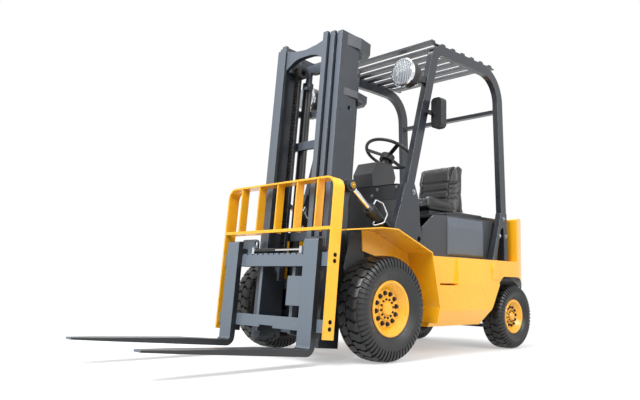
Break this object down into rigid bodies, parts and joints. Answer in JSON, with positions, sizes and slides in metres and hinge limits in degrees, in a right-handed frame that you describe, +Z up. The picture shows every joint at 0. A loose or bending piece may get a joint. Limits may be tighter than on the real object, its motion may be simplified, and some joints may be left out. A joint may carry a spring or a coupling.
{
  "type": "counterbalance forklift truck",
  "caption": "Counterbalance forklift truck with a telescopic lift mast, fork carriage with load backrest, slatted overhead guard, seat on a hinged lid, pneumatic tyres and rear-wheel steering.",
  "frame": {"origin": "middle of the bounding box, on the floor", "axes": "+X forward along the forks, +Y to the driver's left, +Z up"},
  "size_m": [3.6152, 1.25, 2.281],
  "materials": {
    "paint_yellow": "gloss",
    "paint_dark": "satin",
    "paint_grey": "satin",
    "paint_black": "satin",
    "plastic_grey": "matte",
    "plastic_panel": "satin",
    "plastic_dark": "matte",
    "tyre": "matte",
    "vinyl": "satin",
    "rod_chrome": "polished",
    "chain_steel": "oiled",
    "pipe_steel": "satin",
    "cast": "matte",
    "lens": "clear"
  },
  "bodies": {
    "chassis": {"chassis_frame": "paint_yellow", "fenders": "paint_yellow", "counterweight": "paint_yellow", "radiator_grille": "plastic_dark", "engine_block": "cast", "floor_plate": "paint_black", "bulkhead": "paint_black", "hood": "plastic_grey", "hood_panels": "plastic_panel", "console": "plastic_dark", "steering_column": "plastic_dark", "levers": "plastic_dark", "pedals": "paint_black", "guard_frame": "paint_dark", "roof_slats": "paint_dark", "work_lights": "plastic_dark", "lamp_lenses": "lens", "mirror": "plastic_dark", "drive_axle": "cast", "steer_axle": "cast"},
    "seat_lid": {"seat_lid": "plastic_grey", "seat_pan": "paint_black", "seat_cushion": "vinyl", "seat_back": "vinyl"},
    "steering_wheel": {"steering_wheel": "plastic_dark"},
    "mast_outer": {"mast_outer": "paint_dark", "lift_barrels": "paint_black"},
    "mast_middle": {"mast_middle": "paint_dark", "lift_rods": "rod_chrome"},
    "mast_inner": {"mast_inner": "paint_dark", "chain_sheaves": "pipe_steel", "lift_chains": "chain_steel"},
    "carriage": {"carriage_frame": "paint_grey", "load_backrest": "paint_yellow", "fork_left": "paint_grey", "fork_right": "paint_grey", "shift_rod": "rod_chrome"},
    "tilt_barrels": {"tilt_barrels": "paint_black", "tilt_pipes": "pipe_steel"},
    "tilt_rods": {"tilt_rods": "rod_chrome"},
    "drive_wheel_left": {"drive_tyre_left": "tyre", "drive_rim_left": "paint_yellow"},
    "steer_knuckle_left": {"knuckle_left": "cast"},
    "steer_wheel_left": {"steer_tyre_left": "tyre", "steer_rim_left": "paint_yellow"},
    "drive_wheel_right": {"drive_tyre_right": "tyre", "drive_rim_right": "paint_yellow"},
    "steer_knuckle_right": {"knuckle_right": "cast"},
    "steer_wheel_right": {"steer_tyre_right": "tyre", "steer_rim_right": "paint_yellow"}
  },
  "joints": [
    {"name": "mast_tilt", "type": "hinge", "parent": "chassis", "child": "mast_outer", "pos_m": [0.17739, 0, 0.335], "axis": [0, 1, 0], "range_deg": [-7.5, 10.5]},
    {"name": "mast_lift", "type": "slide", "parent": "mast_outer", "child": "mast_middle", "axis": [-0.0785, 0, 0.9969], "range_m": [0, 1.35]},
    {"name": "inner_lift", "type": "slide", "parent": "mast_middle", "child": "mast_inner", "axis": [-0.0785, 0, 0.9969], "range_m": [0, 1.35]},
    {"name": "carriage_lift", "type": "slide", "parent": "mast_inner", "child": "carriage", "axis": [-0.0785, 0, 0.9969], "range_m": [0, 1.35], "deforming": ["lift_chains"]},
    {"name": "tilt_barrel_swing", "type": "hinge", "parent": "chassis", "child": "tilt_barrels", "pos_m": [-0.25245, 0, 0.72219], "axis": [0, 1, 0], "range_deg": [-6.2, 8.6]},
    {"name": "tilt_rod_slide", "type": "slide", "parent": "tilt_barrels", "child": "tilt_rods", "axis": [0.8192, 0, 0.5736], "range_m": [-0.076, 0.106]},
    {"name": "seat_lid_hinge", "type": "hinge", "parent": "chassis", "child": "seat_lid", "pos_m": [-1.39761, 0, 1.008], "axis": [0, -1, 0], "range_deg": [0, 60]},
    {"name": "steering_wheel_turn", "type": "hinge", "parent": "chassis", "child": "steering_wheel", "pos_m": [-0.49261, 0, 1.505], "axis": [-0.4695, 0, 0.8829], "continuous": true},
    {"name": "drive_spin_left", "type": "hinge", "parent": "chassis", "child": "drive_wheel_left", "pos_m": [0.17739, 0.518, 0.335], "axis": [0, 1, 0], "continuous": true},
    {"name": "drive_spin_right", "type": "hinge", "parent": "chassis", "child": "drive_wheel_right", "pos_m": [0.17739, -0.518, 0.335], "axis": [0, 1, 0], "continuous": true},
    {"name": "steer_left", "type": "hinge", "parent": "chassis", "child": "steer_knuckle_left", "pos_m": [-1.42261, 0.35, 0.254], "axis": [0, 0, 1], "range_deg": [-65, 65]},
    {"name": "steer_spin_left", "type": "hinge", "parent": "steer_knuckle_left", "child": "steer_wheel_left", "pos_m": [-1.42261, 0.471, 0.254], "axis": [0, 1, 0], "continuous": true},
    {"name": "steer_right", "type": "hinge", "parent": "chassis", "child": "steer_knuckle_right", "pos_m": [-1.42261, -0.35, 0.254], "axis": [0, 0, 1], "range_deg": [-65, 65]},
    {"name": "steer_spin_right", "type": "hinge", "parent": "steer_knuckle_right", "child": "steer_wheel_right", "pos_m": [-1.42261, -0.471, 0.254], "axis": [0, 1, 0], "continuous": true}
  ],
  "couplings": [
    {"joint": "inner_lift", "follows": "mast_lift", "ratio": 1},
    {"joint": "carriage_lift", "follows": "mast_lift", "ratio": 1},
    {"joint": "tilt_barrel_swing", "follows": "mast_tilt", "ratio": 0.8},
    {"joint": "tilt_rod_slide", "follows": "mast_tilt", "m_per_rad": 0.562},
    {"joint": "steer_right", "follows": "steer_left", "ratio": 1}
  ]
}
